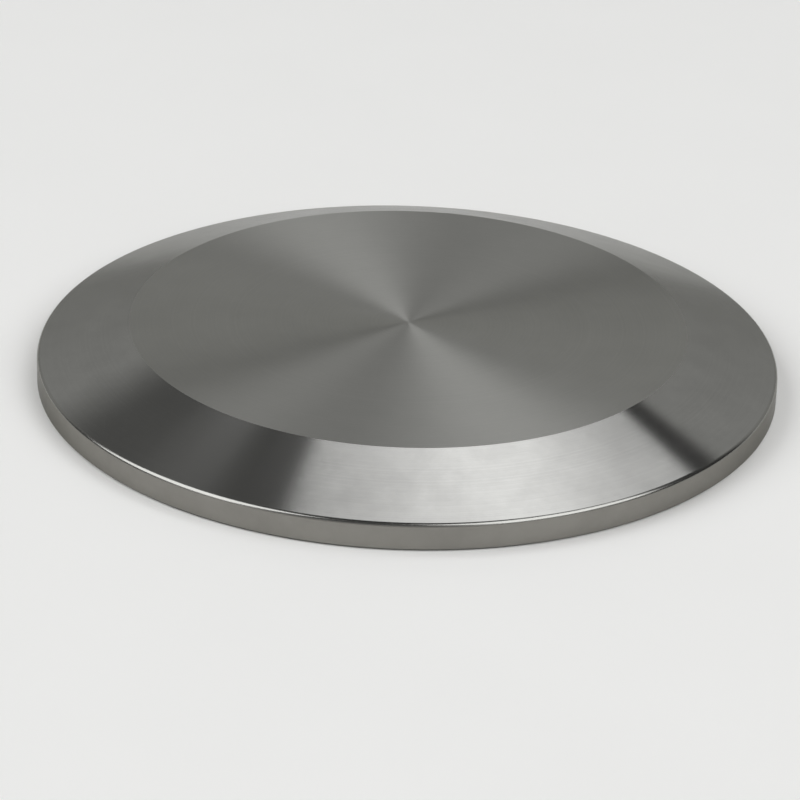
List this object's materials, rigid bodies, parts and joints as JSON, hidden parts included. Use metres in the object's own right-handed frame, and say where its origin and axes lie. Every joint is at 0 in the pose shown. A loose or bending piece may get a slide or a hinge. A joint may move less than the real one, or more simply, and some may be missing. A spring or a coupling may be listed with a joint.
{
  "type": "sanitary clamp end cap",
  "caption": "Round solid end cap for a hygienic clamp joint, with a flat crown, a clamping taper, a thin rim and a ring groove for the gasket in its under face.",
  "frame": {"origin": "centre of the sealing face, on the turning axis, which is the bottom centre of the part as it lies on its sealing face", "axes": "+Z along the turning axis, from the sealing face towards the crown; X and Y are any two directions in the sealing face, because the part is round"},
  "size_m": [0.0776, 0.0776, 0.0063],
  "materials": {
    "stainless_steel": "turned stainless steel: satin concentric tool marks on the crown, finer and brighter on the taper and rim"
  },
  "bodies": {
    "root": {"end_cap": "stainless_steel"}
  },
  "joints": []
}
